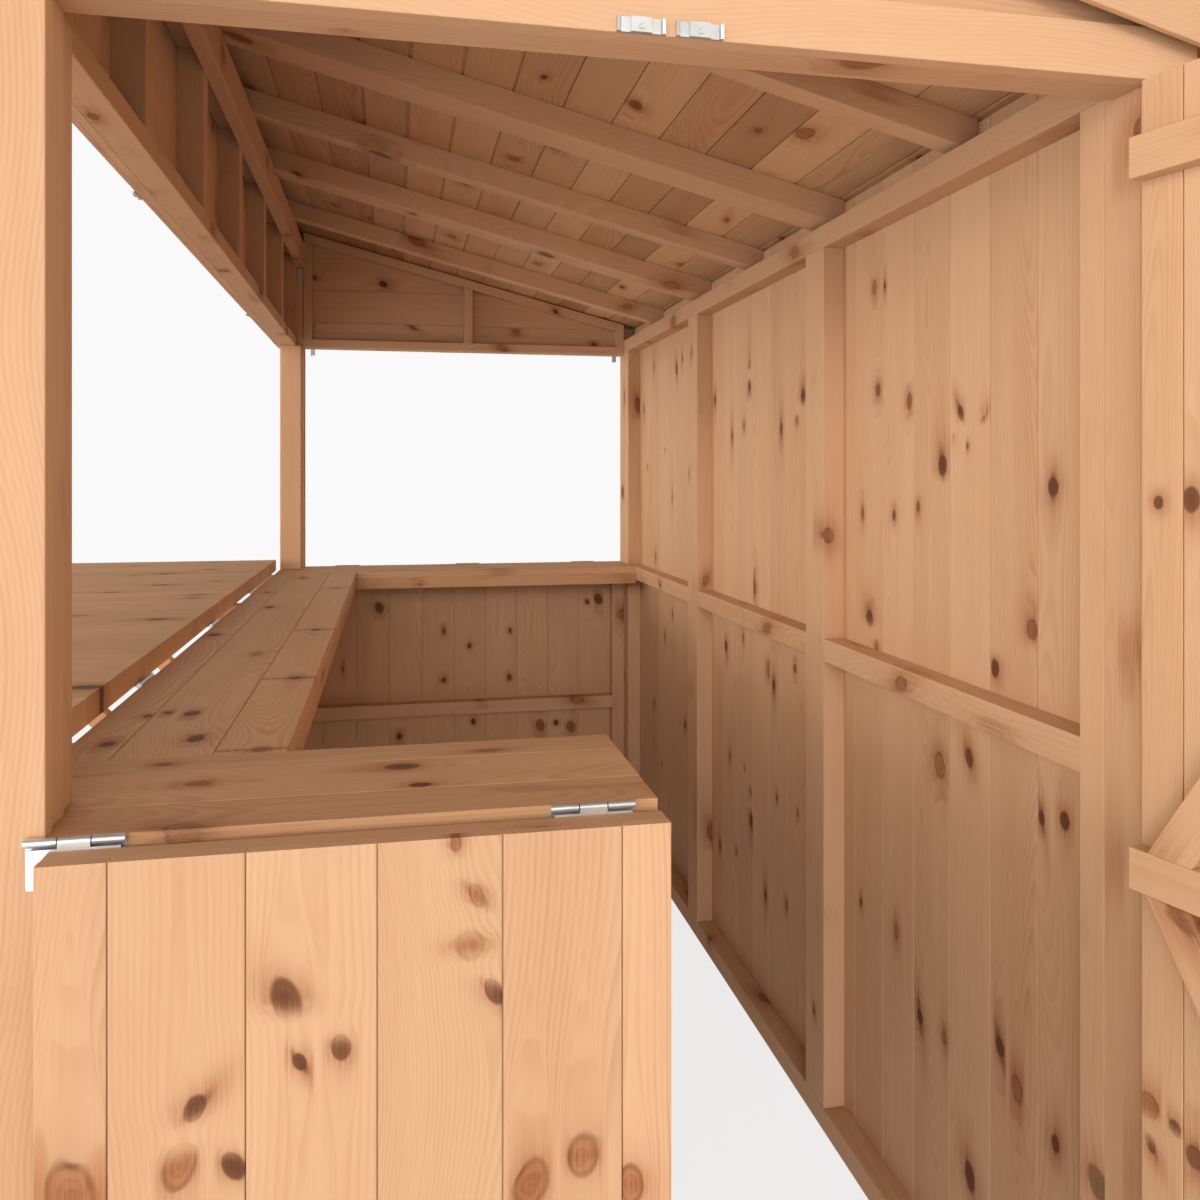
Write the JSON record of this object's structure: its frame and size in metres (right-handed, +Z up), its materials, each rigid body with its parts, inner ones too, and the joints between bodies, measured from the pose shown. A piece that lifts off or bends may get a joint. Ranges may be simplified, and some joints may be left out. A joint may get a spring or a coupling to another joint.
{
  "type": "garden bar hut",
  "caption": "Timber garden bar with a pent roof, worktops round three sides, open hatches with let-down flaps, and a ledged and braced door in one end.",
  "frame": {"origin": "on the ground under the middle of the back wall's bottom plate, halfway along the building and halfway through the back wall's frame", "axes": "+X along the building towards the end with the door, +Y out through the back wall, +Z up"},
  "size_m": [3.2734, 2.062, 2.1633],
  "materials": {
    "frame_timber": "planed softwood, dipped honey brown",
    "board_timber": "tongue-and-groove softwood, dipped honey brown",
    "worktop_timber": "planed softwood boards, dipped honey brown",
    "trim_timber": "planed softwood, dipped honey",
    "mineral_felt": "sand-faced roofing felt",
    "zinc_steel": "bright zinc plate"
  },
  "bodies": {
    "root": {"back_bottom_plate": "frame_timber", "back_top_plate": "frame_timber", "back_studs": "frame_timber", "back_corner_posts": "frame_timber", "back_mid_rails": "frame_timber", "back_wall_boards": "board_timber", "lower_rails": "frame_timber", "lower_studs": "frame_timber", "lower_front_boards": "board_timber", "lower_near_boards": "board_timber", "lower_far_boards": "board_timber", "front_corner_posts": "frame_timber", "front_opening_posts": "frame_timber", "corner_trims": "trim_timber", "front_counter": "worktop_timber", "near_counter": "worktop_timber", "far_counter": "worktop_timber", "counter_battens": "worktop_timber", "fascia_rails": "frame_timber", "fascia_studs": "frame_timber", "fascia_boards": "board_timber", "front_beam": "frame_timber", "beam_plates": "zinc_steel", "front_header_trim": "trim_timber", "end_header_trims": "trim_timber", "gable_rails": "frame_timber", "gable_studs": "frame_timber", "gable_chords": "frame_timber", "gable_boards": "board_timber", "rafters": "frame_timber", "roof_boards": "board_timber", "roof_felt": "mineral_felt", "barge_boards": "trim_timber", "eaves_strips": "trim_timber", "turn_buttons": "zinc_steel", "far_flap_boards": "board_timber", "far_flap_ledges": "frame_timber", "far_flap_hinges": "zinc_steel", "bracket_arms": "frame_timber", "bracket_uprights": "frame_timber", "bracket_struts": "frame_timber", "fixed_hinge_leaves": "zinc_steel"},
    "near_flap": {"near_flap_boards": "board_timber", "near_flap_ledges": "frame_timber", "near_flap_hinge_leaves": "zinc_steel"},
    "front_flap": {"front_flap_panels": "worktop_timber", "front_flap_battens": "frame_timber", "front_flap_hinge_leaves": "zinc_steel"},
    "door": {"door_boards": "board_timber", "door_ledges": "frame_timber", "door_braces": "frame_timber", "door_hinge_leaves": "zinc_steel"}
  },
  "joints": [
    {"name": "near_flap_hinge", "type": "hinge", "parent": "root", "child": "near_flap", "pos_m": [1.346, -0.86025, 0.956], "axis": [0, -1, 0], "range_deg": [0, 180]},
    {"name": "front_flap_hinge", "type": "hinge", "parent": "root", "child": "front_flap", "pos_m": [0, -1.221, 0.956], "axis": [-1, 0, 0], "range_deg": [0, 90]},
    {"name": "door_hinge", "type": "hinge", "parent": "root", "child": "door", "pos_m": [1.3455, -0.029, 0.856], "axis": [0, 0, 1], "range_deg": [-103, 62]}
  ]
}
